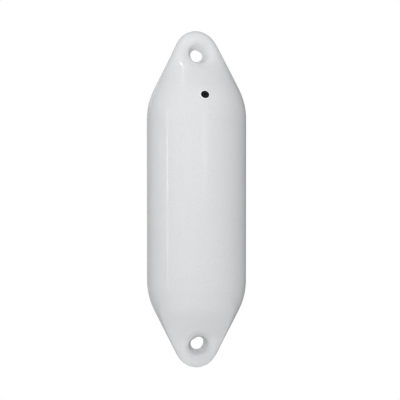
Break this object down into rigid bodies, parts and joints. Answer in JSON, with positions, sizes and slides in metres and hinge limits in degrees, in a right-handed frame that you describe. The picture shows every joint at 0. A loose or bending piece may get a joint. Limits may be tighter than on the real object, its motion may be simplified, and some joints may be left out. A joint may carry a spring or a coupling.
{
  "type": "boat fender",
  "caption": "Inflatable cylindrical boat fender with conical ends, an eye through the lug at each end, and a rubber needle valve near the upper eye.",
  "frame": {"origin": "centre of the upper eye, halfway through its lug", "axes": "+Z along the fender, from the lower eye to the upper one; +Y along the eyes' bores, towards the back; the valve is on the front, towards -Y"},
  "size_m": [0.15, 0.15, 0.508],
  "materials": {
    "fender_body": "glossy white plasticised PVC, rotation moulded, slightly uneven",
    "needle_valve": "black moulded rubber, dull"
  },
  "bodies": {
    "root": {"fender_body": "fender_body", "needle_valve": "needle_valve"}
  },
  "joints": []
}
